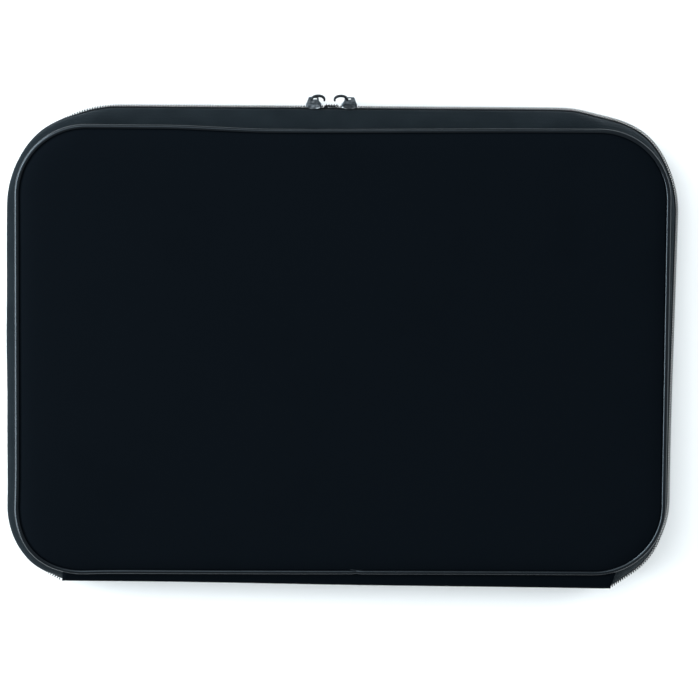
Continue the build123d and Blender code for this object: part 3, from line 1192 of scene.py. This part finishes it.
def ray_points(polygon, centre, angles):
    """Where rays from a centre meet a polygon."""
    found = []
    for angle in angles:
        way = np.array((math.cos(angle), math.sin(angle)))
        best = None
        for a, b in zip(polygon, polygon[1:] + polygon[:1]):
            a, b = np.array(a) - centre, np.array(b) - centre
            edge = b - a
            cross = way[0] * edge[1] - way[1] * edge[0]
            if abs(cross) < 1e-15:
                continue
            distance = (a[0] * edge[1] - a[1] * edge[0]) / cross
            share = (a[0] * way[1] - a[1] * way[0]) / cross
            if distance > 0 and -1e-9 <= share <= 1 + 1e-9:
                best = distance if best is None else max(best, distance)
        found.append(centre + way * best)
    return found


def slider_crown(x, way):
    """The pointed bridge, with a window for the pull's bar, as it is seen from the front."""
    outline = [(-4.25, 0.3), (-3.0, 3.9), (-2.5, 4.4), (2.2, 4.45)]
    outline += [(2.75, 4.1), (3.0, 2.3), (4.15, 0.7), (4.15, 0.3)]
    window = [(-0.75, 2.95), (-1.0, 3.2), (-1.0, 3.65), (-0.7, 3.85)]
    window += [(1.7, 3.85), (1.95, 3.6), (1.95, 3.2), (1.7, 2.95)]
    centre = np.array((0.45, 3.4))
    angles = np.linspace(0, 2 * math.pi, 64, endpoint=False)
    for corner in outline + window:
        angle = math.atan2(corner[1] - centre[1], corner[0] - centre[0]) % (2 * math.pi)
        angles[np.argmin(np.abs(angles - angle))] = angle
    loops = [ray_points(outline, centre, angles), ray_points(window, centre, angles)]
    verts = []
    for loop in loops:
        for sign in (-1, 1):
            for px, py in loop:
                thick = 2.55 - 1.25 * min(max((py - 0.3) / 3.6, 0), 1) ** 0.7
                place = (x + way * px * MM, RIDGE_TOP + PLATE + (py - 0.6) * MM)
                verts.append((*place, MIDDLE + sign * thick * MM))
    n = len(angles)
    outer_low, outer_high, inner_low, inner_high = 0, n, 2 * n, 3 * n
    faces = []
    for i in range(n):
        j = (i + 1) % n
        faces.append((outer_low + i, outer_low + j, inner_low + j, inner_low + i))
        faces.append((outer_high + j, outer_high + i, inner_high + i, inner_high + j))
        faces.append((outer_low + j, outer_low + i, outer_high + i, outer_high + j))
        faces.append((inner_low + i, inner_low + j, inner_high + j, inner_high + i))
    return verts, faces


def pull_path(x, y, way):
    """The arch that a pull follows, half an ellipse from the bar to the tip, and its outward normals."""
    angles = np.radians(np.linspace(178, -16, 400))
    reach, rise = 3.65 * MM, 2.1 * MM
    centre_x = x - way * reach * math.cos(angles[0])
    centre_y = y - rise * math.sin(angles[0])
    points = np.column_stack([centre_x + way * reach * np.cos(angles), centre_y + rise * np.sin(angles)])
    normals = np.column_stack([way * np.cos(angles) / reach, np.sin(angles) / rise])
    return points, normals / np.linalg.norm(normals, axis=1)[:, None]


def loop_outline(length, half_width, near, far):
    """A closed outline of distances along the arch and across it, round at the tip and square at the bar."""
    outline = []

    def corner(along, across, radius, first, last, count):
        for angle in np.radians(np.linspace(first, last, count)):
            outline.append((along + radius * math.cos(angle), across + radius * math.sin(angle)))

    corner(near, half_width - near, near, 180, 90, 5)
    outline.extend((d, half_width) for d in np.linspace(near, length - far, 24)[1:-1])
    corner(length - far, half_width - far, far, 90, 0, 9)
    corner(length - far, far - half_width, far, 0, -90, 9)
    outline.extend((d, -half_width) for d in np.linspace(length - far, near, 24)[1:-1])
    corner(near, near - half_width, near, -90, -180, 5)
    outline.extend((0, z) for z in np.linspace(near - half_width, half_width - near, 8)[1:-1])
    return np.array(outline)


def pull_loop(x, y, way, half_width):
    """A loop of round wire that arches along X, closed by the bar in the crown."""
    path, outwards = pull_path(x, y, way)
    travel = np.concatenate([[0], np.cumsum(np.linalg.norm(np.diff(path, axis=0), axis=1))])
    outline = loop_outline(travel[-1], half_width, 0.55 * MM, 2.0 * MM)
    place = [np.interp(outline[:, 0], travel, path[:, k]) for k in (0, 1)]
    out = [np.interp(outline[:, 0], travel, outwards[:, k]) for k in (0, 1)]
    points = np.column_stack([*place, MIDDLE + outline[:, 1]])
    normals = np.column_stack([*out, np.zeros(len(outline))])
    tangent = np.roll(points, -1, axis=0) - np.roll(points, 1, axis=0)
    tangent /= np.linalg.norm(tangent, axis=1)[:, None]
    across = np.cross(tangent, normals)
    across /= np.linalg.norm(across, axis=1)[:, None]
    return tube(points, across, normals, 0.56 * MM, sides=12, closed=True)


def pull_bar(side):
    """Where the pull's bar lies: its joint's place."""
    joint = next(j for j in frame["joints"] if j["name"] == f"pull_{side}_swing")
    return joint["pos_m"][:2]


def add_slider(side, way):
    """A slider body, its crown and its pull."""
    body_low, body_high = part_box(f"slider_body_{side}")
    x = (body_low.x + body_high.x) / 2
    inside_sizes = (body_low.y, body_low.y + PLATE, SLIDER_HALF_LENGTH - 1 * MM, 2.7 * MM)
    parts = (
        ("slider_shell", slider_shell(x, way), 0.14 * MM, "slider_body"),
        ("slider_inside", slider_inside(x, *inside_sizes), 0.12 * MM, "slider_body"),
        ("crown", slider_crown(x, way), 0.22 * MM, "slider_crown"),
    )
    for name, mesh, edge, node in parts:
        piece = weld(new_piece(f"{side}_{name}", *mesh))
        if name == "slider_shell":
            # paints the highlight on the flanges' lower rims
            paint_rim_highlight(piece, x)
        bevelled(piece, edge)
        finish_piece(piece, METAL, f"slider_{side}", [f"{node}_{side}"])
    loop = weld(new_piece(f"{side}_pull_loop", *pull_loop(*pull_bar(side), way, 2.4 * MM)))
    finish_piece(loop, ENAMEL, f"pull_{side}", [f"pull_{side}"])


for side in ("back", "front"):
    add_panel(side)
    add_piping(side)
    add_tape(side)
    add_coil(side)
    add_binding(side)
add_spine()
add_slider("left", 1)
add_slider("right", -1)
